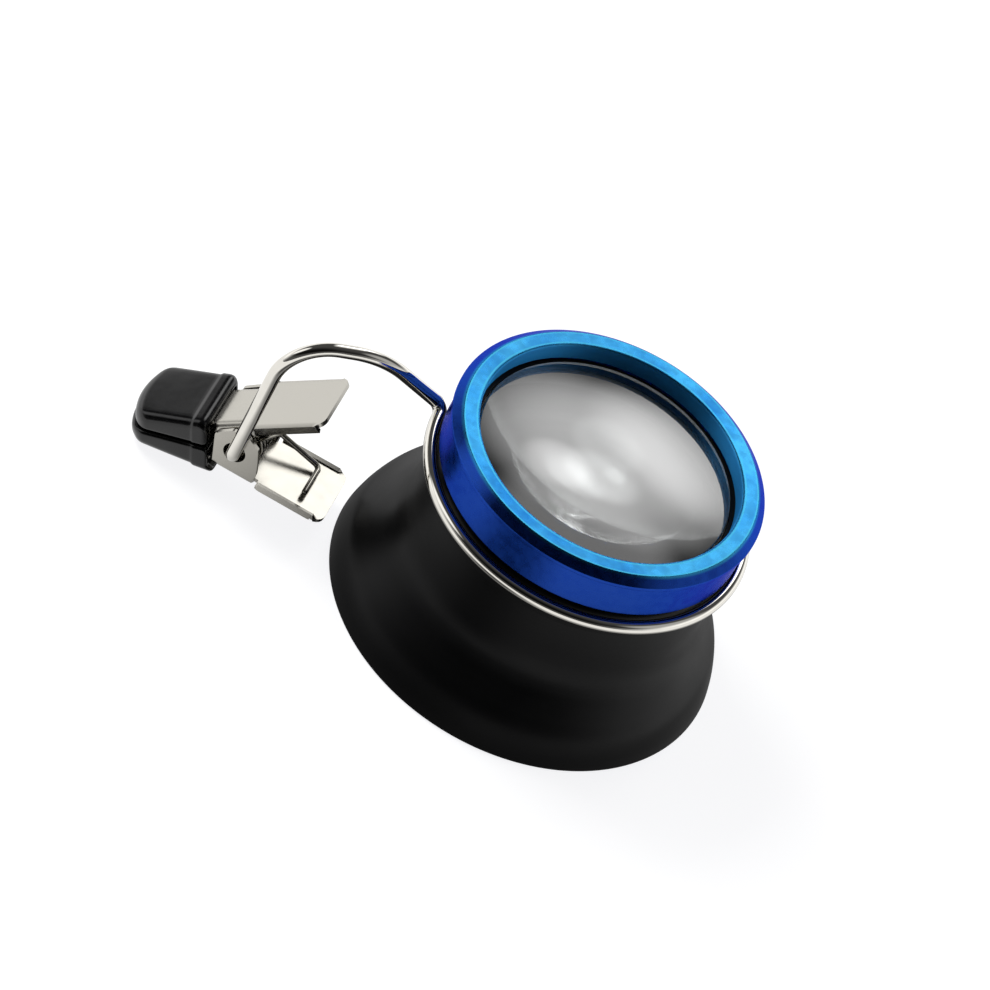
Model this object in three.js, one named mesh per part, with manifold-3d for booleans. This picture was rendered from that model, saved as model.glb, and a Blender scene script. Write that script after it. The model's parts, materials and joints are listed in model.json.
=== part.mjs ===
// Clip-on loupe: an eye cup with a magnifying lens in an aluminium bezel, held by a sprung wire
// loop whose free end is the hinge pin of a small two-jaw clip with rubber tips.
// Millimetres, +Z up. The eye cup stands on its rim at z = 0 and the clip lies toward -X.
// The origin is the middle of the bottom face of the box round the whole part.
import * as THREE from 'three';
import { mergeVertices } from 'three/addons/utils/BufferGeometryUtils.js';
import Module from 'manifold-3d';

const wasm = await Module();
wasm.setup();

// Clearances shared by the pieces
const seatGap = 0.3; // between pieces that sit on each other
const weld = 0.00001; // points closer than this are one point
const overrun = 1; // how far every cutter passes the face it cuts

// Radii, from the sight opening outwards
const apertureRadius = 12.4; // clear opening over the lens
const lipReach = 0.55; // how far the bezel's lip covers the lens
const skirtWall = 0.5; // wall of the skirt that enters the cup
const grooveWall = 0.2; // left between the cup's counterbore and the groove's floor
const grooveDepth = 0.45; // groove for the wire loop, between the neck's ledge and the bezel
const flareReach = 4.1; // from the neck out to the rim
const pocketRadius = apertureRadius + lipReach; // bore that takes the lens from below
const skirtRadius = pocketRadius + skirtWall;
const counterbore = skirtRadius + seatGap; // bore of the cup round the skirt
const grooveRadius = counterbore + grooveWall;
const neckRadius = grooveRadius + grooveDepth;
const rimRadius = neckRadius + flareReach; // outer edge of the rim that rests round the eye

// Eye cup, turned about the loupe's axis
const rimRound = 0.25; // small outer rounding of the rim
const flareHeight = 11.8; // height at which the flare meets the straight neck
const cupWall = 1.1; // wall of the flare
const neckRise = 3.46; // from the flare to the ledge under the wire
const edgeRise = 0.26; // the neck ends this far above the wire
const pocketDepth = 1; // counterbore for the bezel's skirt
const neckWallHeight = 2.5; // thick wall of the neck, below the counterbore
const ledgeProud = 0.1; // ledge under the loop, beyond the neck
// Outline of the flare: share of the way from neck to rim, share of the flare's height
const flareShares = [
  [0, 1], [0.004, 0.87], [0.03, 0.76], [0.1, 0.66], [0.22, 0.57],
  [0.38, 0.48], [0.56, 0.38], [0.77, 0.26], [0.92, 0.12],
];

// The wire and its groove
const wireRadius = 0.64;
const grooveFoot = flareHeight + neckRise;
const loopHeight = grooveFoot + seatGap + wireRadius;
const loopRadius = grooveRadius + seatGap + wireRadius; // centre line of the loop
const ledgeRadius = neckRadius + ledgeProud;
const cupHeight = loopHeight + wireRadius + edgeRise;
const seatHeight = cupHeight - pocketDepth; // ledge inside the neck, under the skirt
const neckBoreFoot = seatHeight - neckWallHeight;

// Stack inside the bezel, from the cup's ledge upwards
const ringRecess = 0.05; // the ring sits this deep in the skirt
const ringThickness = 0.7;
const ringSeat = 0.75; // from the ring to the lens's edge, past its lower dome
const lensEdge = 1.4; // thickness of the lens at its edge
const lensSeat = 0.45; // from the lens's edge to the gasket, past its upper dome
const gasketThickness = 0.25;
const lipDepth = 1.8; // thickness of the bezel's lip
const skirtFoot = seatHeight + seatGap;
const ringFoot = skirtFoot + ringRecess;
const ringTop = ringFoot + ringThickness;
const lensEdgeFoot = ringTop + ringSeat;
const lensEdgeTop = lensEdgeFoot + lensEdge;
const gasketFoot = lensEdgeTop + lensSeat;
const gasketTop = gasketFoot + gasketThickness;
const lipFoot = gasketTop + seatGap; // underside of the lip that holds the lens

// Bezel of turned aluminium
const bezelTop = lipFoot + lipDepth;
const bezelBottom = cupHeight + seatGap;
const wallProud = 0.1; // side wall, beyond the cup's neck
const bandProud = 0.3; // widest band, beyond the side wall
const chamferReach = 0.86;
const chamferDepth = 0.7;
const bandHeight = 0.35;
const bezelStep = 0.2; // height of the step below the widest band
const apertureBevel = 0.25;
const bezelWall = neckRadius + wallProud; // radius of the side wall
const bezelRadius = bezelWall + bandProud; // widest, at the foot of the chamfer
const bezelFaceRadius = bezelRadius - chamferReach; // outer edge of the flat top face
const bezelChamferFoot = bezelTop - chamferDepth;
const bezelBandFoot = bezelChamferFoot - bandHeight;

// Lens, its gasket under the lip and the ring that holds it from below
const lensRadius = pocketRadius - seatGap;
const lensCrown = 2; // height of the upper dome
const lensBelly = 1.4; // depth of the lower dome
const gasketProud = 0.35; // how far the gasket shows inside the opening
const gasketBore = apertureRadius - gasketProud;
const ringWidth = 1.35;
const ringBore = lensRadius - ringWidth;
const ringNotchWidth = 1.6; // two notches for a pin spanner
const ringNotchReach = 0.7;
const boreLedge = 0.25; // the neck's bore is this much narrower than the ring
const neckBore = lensRadius - boreLedge; // clear radius through the neck

// Wire holder: a loop in the cup's groove, an arm and a hinge pin, bent from one wire
const loopEnd = 183.3; // degrees from +X at which the loop meets the arm
const loopSpan = 349; // degrees of the loop, which leaves a small opening
const elbowReach = 1.55; // from the end of the loop to the elbow's corner
const elbowBend = 0.9;
const armRise = 4.9; // top of the arm above the loop
const kneeShare = 0.46; // where the arm levels out, as a share of its reach
const kneeBend = 9.6;
const shoulderBend = 4.55;
const pinBend = 1.05;
const hookRise = 2.6; // turned-up end that keeps the clip on the pin

// Clip: pressed steel jaws round the torsion spring
const clipTilt = THREE.MathUtils.degToRad(20); // tips down, finger plates up
const fingerSpread = THREE.MathUtils.degToRad(20); // each finger plate to the middle plane
const sheet = 0.4; // thickness of the pressed steel
const springWire = 0.27; // radius of the spring's wire
const coilRadius = 1.62;
const coilClear = 0.36; // from the coil to the inside of each plate
const plateDrop = coilRadius + springWire + coilClear + sheet; // from the pin to each plate's outside
const fingerLength = 9.75; // from the pin to the end of a finger plate
const fingerHalf = 3.55; // half width of a finger plate
const fingerCorner = 1;
const jawBend = -1.5; // where the jaw turns inwards, along the plate from the pin
const jawTurn = THREE.MathUtils.degToRad(11);
const jawLength = 5.3;
const jawStep = 0.35; // the jaw is this much narrower than the plate on each side
const jawHalf = fingerHalf - jawStep;
const earGap = 0.25; // between an outer ear and the inner ear beside it
const pinPlay = 0.42; // from the pin to the holes in the ears
const pinHole = wireRadius + pinPlay;
const waistHalf = fingerHalf - sheet - earGap; // half width between the outer ears
const waistEnd = 1.9; // where the upper plate widens again, from the pin
const earFoot = 2.65; // outer ear's reach along the plate, towards the fingers
const outerEarDrop = 0.1; // the outer ears end this far inside the plates' outsides
const innerEarClear = 0.2; // from the inner ears to the plate that they face
const earRadius = plateDrop - outerEarDrop; // the outer ears stay inside this radius of the pin
const innerEarRadius = plateDrop - sheet - innerEarClear;
// Corners of an ear round the pin: share of its radius, degrees up from the finger side
const earCornerShares = [[0.9, 5], [0.94, 40], [0.97, 76], [0.97, 114], [1, 157]];

// Rubber tips, in the clip's own frame: u runs from the pin towards the tips
const tipRear = 2.5;
const tipWall = 0.85; // rubber beside the jaw
const tipHalf = jawHalf + tipWall;
const tipBow = 1.1; // the front's corners lie this far behind its middle
const tipBowBend = 10;
const tipCorner = 1.3; // rounding of the front corners in plan
const tipEdge = 0.85; // rounding of the long edges
const jawGap = 0.15; // from each tip's inner face to the middle plane
const tipFit = 0.2; // between the steel jaw and its pocket
const upperNose = 2.5; // rubber beyond the steel
const upperRearSwell = 0.15; // deeper than the plate's drop at the rear
const upperFrontSlim = 0.8; // shallower than the plate's drop at the front
const lowerNose = 2.85;
const lowerRearSwell = 0.3;
const lowerFrontSlim = 0.9;
const heelReach = 0.5; // the lower tip's heel runs this far back under the plate
const heelDrop = 2.47; // from the middle plane to the top of the heel
const heelEdge = 0.2;
const lowerTipReach = tipRear + jawLength + lowerNose;
const lowerRearDrop = plateDrop + lowerRearSwell;
const lowerFrontDrop = plateDrop - lowerFrontSlim;
const heelX = heelReach - tipRear;

// Where the clip hangs in the loupe's frame: clear of the rim, its lowest tip just above the floor
const fingerGap = 0.85; // from the finger plate to the rim
const floorGap = 0.0293;
// Under the middle of the rounding at the lower tip's front, whose underside slopes
const underSlope = Math.atan((lowerRearDrop - lowerFrontDrop) / (lowerTipReach + heelX));
const roundDrop = lowerFrontDrop + tipEdge * Math.tan(underSlope) - tipEdge / Math.cos(underSlope);
const roundReach = lowerTipReach - tipEdge;
const tipDip = roundReach * Math.sin(clipTilt) + roundDrop * Math.cos(clipTilt) + tipEdge;
const pinX = -(rimRadius + fingerGap + fingerLength);
const pinZ = tipDip + floorGap;
const clipY = -2.59; // middle of the clip's width

// Torsion spring round the pin
const coilSeat = 0.29; // the coil bears on the pin from the finger side
const coilOffset = coilRadius - springWire - wireRadius - coilSeat;
const coilEndGap = 0.25; // from the coil to the inner ears
const coilHalf = waistHalf - sheet - coilEndGap - springWire; // half length, centre to centre
const coilTurns = 4;
const coilExit = THREE.MathUtils.degToRad(15); // where a leg leaves, below or above the middle
const legInset = 2.65; // from the end of a finger plate to the cross-piece
const legReach = fingerLength - legInset; // from the pin to the cross-piece
const legGap = 0.3; // from the legs to the plates
const crossTrim = 0.01; // the cross-piece is this much shorter than the coil
const crossLength = 2 * coilHalf - crossTrim;

// Counts of facets
const latheSides = 64;
const wireSides = 8;
const wireSteps = 190;
const springSides = 5;
const curlSteps = 8;
const bendSteps = 6;
const holeSides = 20;
const cornerSteps = 4;
const edgeSteps = 3;

// A closed mesh as a solid that can be cut and joined.
function solid(geometry) {
  const bare = geometry.clone();
  for (const name of Object.keys(bare.attributes)) {
    if (name !== 'position') bare.deleteAttribute(name);
  }
  const merged = mergeVertices(bare, weld);
  const place = merged.attributes.position.array;
  const corners = merged.index.array;
  const faces = [];
  let volume = 0;
  const a = new THREE.Vector3();
  const b = new THREE.Vector3();
  const c = new THREE.Vector3();
  for (let i = 0; i < corners.length; i += 3) {
    const [p, q, r] = [corners[i], corners[i + 1], corners[i + 2]];
    if (p === q || q === r || r === p) continue;
    faces.push(p, q, r);
    a.fromArray(place, p * 3);
    b.fromArray(place, q * 3);
    c.fromArray(place, r * 3);
    volume += a.dot(b.cross(c));
  }
  // Faces point outwards when the volume they enclose is positive
  if (volume < 0) faces.reverse();
  const mesh = { numProp: 3, vertProperties: new Float32Array(place), triVerts: new Uint32Array(faces) };
  return new wasm.Manifold(new wasm.Mesh(mesh));
}

// A solid's surface as a geometry for a mesh.
function surface(body) {
  const mesh = body.getMesh();
  const geometry = new THREE.BufferGeometry();
  geometry.setAttribute('position', new THREE.BufferAttribute(mesh.vertProperties, 3));
  geometry.setIndex(new THREE.BufferAttribute(mesh.triVerts, 1));
  geometry.computeVertexNormals();
  return geometry;
}

// A turned solid about Z from a list of [radius, height] corners.
function turned(profile, closed = true) {
  const points = profile.map(([r, z]) => new THREE.Vector2(r, z));
  if (closed) points.push(points[0].clone());
  return solid(new THREE.LatheGeometry(points, latheSides).rotateX(Math.PI / 2));
}

// A slab with the given outline in X and Z, between two values of Y.
function slabY(outline, yLow, yHigh) {
  const shape = new THREE.Shape(outline.map(([x, z]) => new THREE.Vector2(x, z)));
  const geometry = new THREE.ExtrudeGeometry(shape, { depth: yHigh - yLow, bevelEnabled: false });
  return solid(geometry.rotateX(Math.PI / 2).translate(0, yHigh, 0));
}

// A slab with the given outline in X and Y, between two values of Z.
function slabZ(outline, zLow, zHigh) {
  const shape = new THREE.Shape(outline.map(([x, y]) => new THREE.Vector2(x, y)));
  const geometry = new THREE.ExtrudeGeometry(shape, { depth: zHigh - zLow, bevelEnabled: false });
  return solid(geometry.translate(0, 0, zLow));
}

// A curve through a dense list of points.
class PointPath extends THREE.Curve {
  constructor(points) {
    super();
    this.points = points;
    this.arcLengthDivisions = points.length * 4;
  }

  getPoint(t, target = new THREE.Vector3()) {
    const place = t * (this.points.length - 1);
    const low = Math.min(Math.floor(place), this.points.length - 2);
    return target.lerpVectors(this.points[low], this.points[low + 1], place - low);
  }
}

// A round wire along a list of points.
function wire(points, radius, sides, steps) {
  const outline = [];
  for (let i = 0; i < sides; i += 1) {
    const turn = (i / sides) * 2 * Math.PI;
    outline.push(new THREE.Vector2(radius * Math.cos(turn), radius * Math.sin(turn)));
  }
  const settings = { steps, bevelEnabled: false, extrudePath: new PointPath(points) };
  return solid(new THREE.ExtrudeGeometry(new THREE.Shape(outline), settings));
}

// The points of a bent wire: straight runs between corners, each corner an arc of its radius.
function bentRun(corners, count) {
  const points = [corners[0].at];
  for (let i = 1; i < corners.length - 1; i += 1) {
    const corner = corners[i].at;
    const back = new THREE.Vector3().subVectors(corners[i - 1].at, corner).normalize();
    const ahead = new THREE.Vector3().subVectors(corners[i + 1].at, corner).normalize();
    const half = back.angleTo(ahead) / 2;
    const inner = new THREE.Vector3().addVectors(back, ahead).normalize();
    const radius = corners[i].bend;
    const centre = corner.clone().addScaledVector(inner, radius / Math.sin(half));
    const foot = corner.clone().addScaledVector(back, radius / Math.tan(half));
    const arm = foot.clone().sub(centre);
    const axis = new THREE.Vector3().crossVectors(ahead, back).normalize();
    const turn = Math.PI - 2 * half;
    for (let j = 0; j <= count; j += 1) {
      const spoke = arm.clone().applyAxisAngle(axis, (turn * j) / count);
      points.push(centre.clone().add(spoke));
    }
  }
  points.push(corners[corners.length - 1].at);
  return points;
}

// Eye cup: moulded plastic, open at the rim, with the wire's groove round its neck
function eyeCup() {
  const flare = rimRadius - neckRadius;
  const outer = flareShares.map(([out, up]) => [neckRadius + flare * out, flareHeight * up]);
  const inner = outer.map(([r, z]) => [r - cupWall, z]).reverse();
  const profile = [
    [neckBore, seatHeight], [counterbore, seatHeight], [counterbore, cupHeight],
    [grooveRadius, cupHeight], [grooveRadius, grooveFoot], [ledgeRadius, grooveFoot],
    ...outer,
    [rimRadius, rimRound], [rimRadius - rimRound, 0], [rimRadius - cupWall, 0],
    ...inner,
    [neckBore, neckBoreFoot],
  ];
  return turned(profile);
}

// Bezel: turned and anodised aluminium, with a lip over the lens and a skirt in the cup
function bezel() {
  return turned([
    [apertureRadius, lipFoot], [apertureRadius, bezelTop - apertureBevel],
    [apertureRadius + apertureBevel, bezelTop], [bezelFaceRadius, bezelTop],
    [bezelRadius, bezelChamferFoot], [bezelRadius, bezelBandFoot],
    [bezelWall, bezelBandFoot - bezelStep], [bezelWall, bezelBottom],
    [skirtRadius, bezelBottom], [skirtRadius, skirtFoot],
    [pocketRadius, skirtFoot], [pocketRadius, lipFoot],
  ]);
}

// Height of a dome above its edge, at a distance from the axis
function dome(radius, edge, crown) {
  const sphere = (edge * edge + crown * crown) / (2 * crown);
  return Math.sqrt(sphere * sphere - radius * radius) - (sphere - crown);
}

// Lens: a thick glass lens, more curved above than below
function lens() {
  const shares = [0, 0.2, 0.4, 0.6, 0.8, 1];
  const below = shares.map((share) => {
    const r = lensRadius * share;
    return [r, lensEdgeFoot - dome(r, lensRadius, lensBelly)];
  });
  const above = shares.map((share) => {
    const r = lensRadius * share;
    return [r, lensEdgeTop + dome(r, lensRadius, lensCrown)];
  });
  return turned([...below, ...above.reverse()], false);
}

// Gasket: a thin black ring between the lens and the bezel's lip
function lensGasket() {
  return turned([
    [gasketBore, gasketFoot], [lensRadius, gasketFoot],
    [lensRadius, gasketTop], [gasketBore, gasketTop],
  ]);
}

// Ring that screws in under the lens, with two notches for a spanner
function lensRing() {
  const ring = turned([
    [ringBore, ringFoot], [lensRadius, ringFoot], [lensRadius, ringTop], [ringBore, ringTop],
  ]);
  const reach = ringBore + ringNotchReach;
  const half = ringNotchWidth / 2;
  const cutter = [[-reach, -half], [reach, -half], [reach, half], [-reach, half]];
  return ring.subtract(slabZ(cutter, ringFoot - overrun, ringTop + overrun));
}

// Wire holder: loop, elbow, arched arm, hinge pin across the clip and a turned-up end
function wireHolder() {
  const points = [];
  const count = wireSteps;
  for (let i = 0; i <= count; i += 1) {
    const turn = THREE.MathUtils.degToRad(loopEnd + loopSpan * (1 - i / count));
    points.push(new THREE.Vector3(loopRadius * Math.cos(turn), loopRadius * Math.sin(turn), loopHeight));
  }
  const end = points.pop();
  const heading = THREE.MathUtils.degToRad(loopEnd - 90);
  const tangent = new THREE.Vector3(Math.cos(heading), Math.sin(heading), 0);
  const elbow = end.clone().addScaledVector(tangent, elbowReach);
  const nearY = clipY - fingerHalf - wireRadius - legGap;
  const farY = clipY + fingerHalf + wireRadius + legGap;
  const top = loopHeight + armRise;
  const shoulder = new THREE.Vector3(pinX, nearY, top);
  const knee = elbow.clone().lerp(shoulder, kneeShare).setZ(top);
  const corners = [
    { at: end },
    { at: elbow, bend: elbowBend },
    { at: knee, bend: kneeBend },
    { at: shoulder, bend: shoulderBend },
    { at: new THREE.Vector3(pinX, nearY, pinZ), bend: pinBend },
    { at: new THREE.Vector3(pinX, farY, pinZ), bend: pinBend },
    { at: new THREE.Vector3(pinX, farY, pinZ + hookRise) },
  ];
  return wire([...points, ...bentRun(corners, bendSteps)], wireRadius, wireSides, wireSteps);
}

// Outline of the bent sheet of a jaw in X and Z, grown by a margin on every side
function sheetOutline(margin, fingerEnd) {
  const low = -plateDrop - margin;
  const high = -plateDrop + sheet + margin;
  const reach = jawLength + margin;
  const along = (z) => [jawBend - reach * Math.cos(jawTurn), z - reach * Math.sin(jawTurn)];
  return [[fingerEnd, low], [fingerEnd, high], [jawBend, high], along(high), along(low), [jawBend, low]];
}

// Outline of a plate in plan, from the finger end to the jaw end
function platePlan(earHalf) {
  const plan = [];
  for (let i = 0; i <= cornerSteps; i += 1) {
    const turn = (i / cornerSteps) * (Math.PI / 2);
    const x = fingerLength - fingerCorner + fingerCorner * Math.sin(turn);
    plan.push([x, fingerHalf - fingerCorner + fingerCorner * Math.cos(turn)]);
  }
  const jawEnd = jawBend - jawLength - overrun;
  const side = [[waistEnd + sheet, fingerHalf], [waistEnd, earHalf], [jawBend, earHalf]];
  const jaw = Math.min(jawHalf, earHalf);
  const half = [...side, [jawBend - sheet, jaw], [jawEnd, jaw]].reverse().concat(plan);
  const mirrored = half.map(([x, y]) => [x, -y]).reverse();
  return [...half, ...mirrored];
}

// One jaw: a bent plate with two ears drilled for the pin, in the plate's own frame
function jaw(earHalf, radius, foot) {
  const sheetSlab = slabY(sheetOutline(0, fingerLength), -fingerHalf - overrun, fingerHalf + overrun);
  const plan = slabZ(platePlan(earHalf), -plateDrop * 2, plateDrop);
  let body = sheetSlab.intersect(plan);
  const ear = [[jawBend, -plateDrop], [foot, -plateDrop]];
  for (const [share, degrees] of earCornerShares) {
    const turn = THREE.MathUtils.degToRad(degrees);
    ear.push([radius * share * Math.cos(turn), radius * share * Math.sin(turn)]);
  }
  body = body.add(slabY(ear, earHalf - sheet, earHalf));
  body = body.add(slabY(ear, -earHalf, sheet - earHalf));
  const hole = new THREE.CylinderGeometry(pinHole, pinHole, 2 * (fingerHalf + overrun), holeSides);
  return body.subtract(solid(hole));
}

// The points of a line through corners of [first, second, bend], for a flat outline
function roundedLine(corners, count) {
  const run = corners.map(([a, b, bend]) => ({ at: new THREE.Vector3(a, b, 0), bend }));
  return bentRun(run, count).map((point) => [point.x, point.y]);
}

// One rubber tip in the clip's frame, below the middle plane, with a pocket for its jaw. The rear
// is a list of corners [x, z, bend] from the inner face down to the lowest edge.
function rubberTip(reach, rear, frontDrop, half) {
  const side = roundedLine([
    [-tipRear, -jawGap], ...rear, [-reach, -frontDrop, tipEdge], [-reach, -jawGap],
  ], edgeSteps);
  const profile = slabY(side, -tipHalf - overrun, tipHalf + overrun);
  // The bowed front is two straight runs with a wide bend between them
  const apex = reach + tipBowBend * (1 / Math.cos(Math.atan(tipBow / tipHalf)) - 1);
  const plan = roundedLine([
    [0, -tipHalf], [tipBow - apex, -tipHalf, tipCorner], [-apex, 0, tipBowBend],
    [tipBow - apex, tipHalf, tipCorner], [0, tipHalf],
  ], edgeSteps);
  const [rearX, rearZ] = rear[rear.length - 1];
  const outline = slabZ(plan, rearZ - overrun, overrun);
  // The long edges are rounded by an outline across the tip, sheared to follow the tip's slope
  const across = roundedLine([
    [tipHalf, overrun], [tipHalf, rearZ, tipEdge], [-tipHalf, rearZ, tipEdge], [-tipHalf, overrun],
  ], edgeSteps);
  const shape = new THREE.Shape(across.map(([y, z]) => new THREE.Vector2(y, z)));
  const bar = new THREE.ExtrudeGeometry(shape, { depth: reach + overrun, bevelEnabled: false });
  bar.rotateX(Math.PI / 2).rotateZ(-Math.PI / 2);
  const slope = (rearZ + frontDrop) / (reach + rearX);
  bar.applyMatrix4(new THREE.Matrix4().makeShear(0, slope, 0, 0, 0, 0)).translate(0, 0, -slope * rearX);
  const body = profile.intersect(outline).intersect(solid(bar));
  const pocket = slabY(sheetOutline(tipFit, earRadius), -half - tipFit, half + tipFit);
  const toClip = new THREE.Matrix4().makeRotationY(fingerSpread);
  return body.subtract(pocket.transform(toClip.elements));
}

// Torsion spring: a coil with a bent leg and a cross-piece for each finger plate
function clipSpring() {
  // Centre of the lower leg's cross-piece, turned from the plate's frame into the clip's
  const rest = new THREE.Vector3(legReach, 0, -plateDrop + sheet + legGap + springWire);
  rest.applyAxisAngle(new THREE.Vector3(0, 1, 0), fingerSpread);
  const turn = 2 * Math.PI * coilTurns + 2 * coilExit;
  const steps = Math.ceil((turn / (2 * Math.PI)) * curlSteps * 4);
  const coil = [];
  for (let i = 0; i <= steps; i += 1) {
    const angle = coilExit - (turn * i) / steps;
    const x = coilOffset + coilRadius * Math.cos(angle);
    const y = -coilHalf + (2 * coilHalf * i) / steps;
    coil.push(new THREE.Vector3(x, y, coilRadius * Math.sin(angle)));
  }
  // A leg from the coil's lower end; turning it over about X gives the upper one
  const last = coil[coil.length - 1];
  const onwards = new THREE.Vector3(-Math.sin(coilExit), 0, -Math.cos(coilExit));
  const kink = last.clone().addScaledVector(onwards, springWire * 2);
  const corner = new THREE.Vector3(rest.x, coilHalf, rest.z);
  const tip = new THREE.Vector3(rest.x, coilHalf - crossLength, rest.z);
  const bend = springWire * 2;
  const run = [{ at: last }, { at: kink, bend: springWire }, { at: corner, bend }, { at: tip }];
  const leg = bentRun(run, bendSteps);
  const upper = leg.map((point) => new THREE.Vector3(point.x, -point.y, -point.z)).reverse();
  const points = [...upper.slice(0, -1), ...coil, ...leg.slice(1)];
  let length = 0;
  for (let i = 1; i < points.length; i += 1) length += points[i].distanceTo(points[i - 1]);
  const spacing = (2 * Math.PI * coilRadius) / curlSteps;
  console.log('spring: least gap to itself', leastGap(coil, springWire).toFixed(3), 'mm');
  return wire(points, springWire, springSides, Math.round(length / spacing) * 2);
}

// Least clear gap between turns of a coil, measured on its centre line's points
function leastGap(points, radius) {
  let least = Infinity;
  const apart = radius * 6;
  for (let i = 0; i < points.length; i += 1) {
    let run = 0;
    for (let j = i + 1; j < points.length; j += 1) {
      run += points[j].distanceTo(points[j - 1]);
      if (run > apart) least = Math.min(least, points[i].distanceTo(points[j]) - 2 * radius);
    }
  }
  return least;
}

// Finishes
const blackPlastic = new THREE.MeshStandardMaterial({ color: 0x101013, roughness: 0.55, metalness: 0 });
const blueAluminium = new THREE.MeshStandardMaterial({ color: 0x1c62c8, roughness: 0.3, metalness: 0.9 });
const glass = new THREE.MeshStandardMaterial({ color: 0xb8bcbc, roughness: 0.03, metalness: 0 });
const blackRubber = new THREE.MeshStandardMaterial({ color: 0x0b0b0c, roughness: 0.25, metalness: 0 });
const brightWire = new THREE.MeshStandardMaterial({ color: 0xd8d8d4, roughness: 0.12, metalness: 1 });
const platedSteel = new THREE.MeshStandardMaterial({ color: 0xcfcfc8, roughness: 0.22, metalness: 1 });
const springSteel = new THREE.MeshStandardMaterial({ color: 0x9c9c96, roughness: 0.25, metalness: 1 });

function piece(name, body, material) {
  const mesh = new THREE.Mesh(surface(body), material);
  mesh.name = name;
  return mesh;
}

// The loupe's own frame: its axis is Z and its rim lies on z = 0
const loupe = new THREE.Group();
loupe.add(piece('eye_cup', eyeCup(), blackPlastic));
loupe.add(piece('bezel', bezel(), blueAluminium));
loupe.add(piece('lens', lens(), glass));
loupe.add(piece('lens_gasket', lensGasket(), blackRubber));
loupe.add(piece('lens_ring', lensRing(), blackPlastic));
loupe.add(piece('wire_holder', wireHolder(), brightWire));

// The clip's frame: its origin is on the pin and +X lies in the middle plane, towards the fingers
const clip = new THREE.Group();
clip.position.set(pinX, clipY, pinZ);
clip.rotation.y = -clipTilt;
loupe.add(clip);

const lowerJaw = piece('lower_jaw', jaw(fingerHalf, earRadius, earFoot), platedSteel);
lowerJaw.rotation.y = fingerSpread;
const heel = [
  [-tipRear, -heelDrop, heelEdge], [heelX, -heelDrop, heelEdge], [heelX, -lowerRearDrop, heelEdge],
];
const lowerRubber = rubberTip(lowerTipReach, heel, lowerFrontDrop, jawHalf);
const lowerTip = piece('lower_tip', lowerRubber, blackRubber);
const spring = piece('clip_spring', clipSpring(), springSteel);
clip.add(lowerJaw, lowerTip, spring);

// The upper jaw and tip are turned over about the middle plane's axis
const upper = new THREE.Group();
upper.rotation.x = Math.PI;
const upperJaw = piece('upper_jaw', jaw(waistHalf, innerEarRadius, innerEarRadius), platedSteel);
upperJaw.rotation.y = fingerSpread;
const upperTipReach = tipRear + jawLength + upperNose;
const upperRear = [[-tipRear, -plateDrop - upperRearSwell, tipEdge]];
const upperRubber = rubberTip(upperTipReach, upperRear, plateDrop - upperFrontSlim, waistHalf);
const upperTip = piece('upper_tip', upperRubber, blackRubber);
upper.add(upperJaw, upperTip);
clip.add(upper);

// The part's frame: the middle of the bottom of the box round everything
const part = new THREE.Group();
part.add(loupe);
part.updateMatrixWorld(true);
const box = new THREE.Box3().setFromObject(part, true);
const middle = box.getCenter(new THREE.Vector3());
loupe.position.set(-middle.x, -middle.y, -box.min.z);
part.updateMatrixWorld(true);
const written = (vector) => vector.toArray().map((v) => v.toFixed(4)).join(' ');
console.log('box of the part', written(box.getSize(new THREE.Vector3())));
console.log('loupe axis at', written(loupe.position));
console.log('pin at', written(clip.getWorldPosition(new THREE.Vector3())));

export default part;
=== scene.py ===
"""A clip-on eye loupe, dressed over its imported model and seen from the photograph's side."""

import json
import math

import bpy
import numpy as np
from mathutils import Matrix, Vector
from mathutils.geometry import delaunay_2d_cdt


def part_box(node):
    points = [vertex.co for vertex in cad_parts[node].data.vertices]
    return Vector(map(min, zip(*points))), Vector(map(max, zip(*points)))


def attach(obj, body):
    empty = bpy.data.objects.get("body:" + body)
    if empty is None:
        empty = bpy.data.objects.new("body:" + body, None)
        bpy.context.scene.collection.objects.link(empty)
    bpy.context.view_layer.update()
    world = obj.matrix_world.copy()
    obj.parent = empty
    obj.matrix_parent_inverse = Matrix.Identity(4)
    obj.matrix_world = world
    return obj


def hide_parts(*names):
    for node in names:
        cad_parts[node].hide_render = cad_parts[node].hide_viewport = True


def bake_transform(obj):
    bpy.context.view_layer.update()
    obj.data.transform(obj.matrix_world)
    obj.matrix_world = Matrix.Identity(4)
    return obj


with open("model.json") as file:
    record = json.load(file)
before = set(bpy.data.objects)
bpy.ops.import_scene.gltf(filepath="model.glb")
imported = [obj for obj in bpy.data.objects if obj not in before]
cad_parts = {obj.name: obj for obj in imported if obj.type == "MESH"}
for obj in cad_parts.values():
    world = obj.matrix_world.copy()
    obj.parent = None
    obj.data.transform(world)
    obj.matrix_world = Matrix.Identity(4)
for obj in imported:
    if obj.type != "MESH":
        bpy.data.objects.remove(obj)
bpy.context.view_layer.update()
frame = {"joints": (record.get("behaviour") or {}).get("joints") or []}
mm = 0.001

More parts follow.
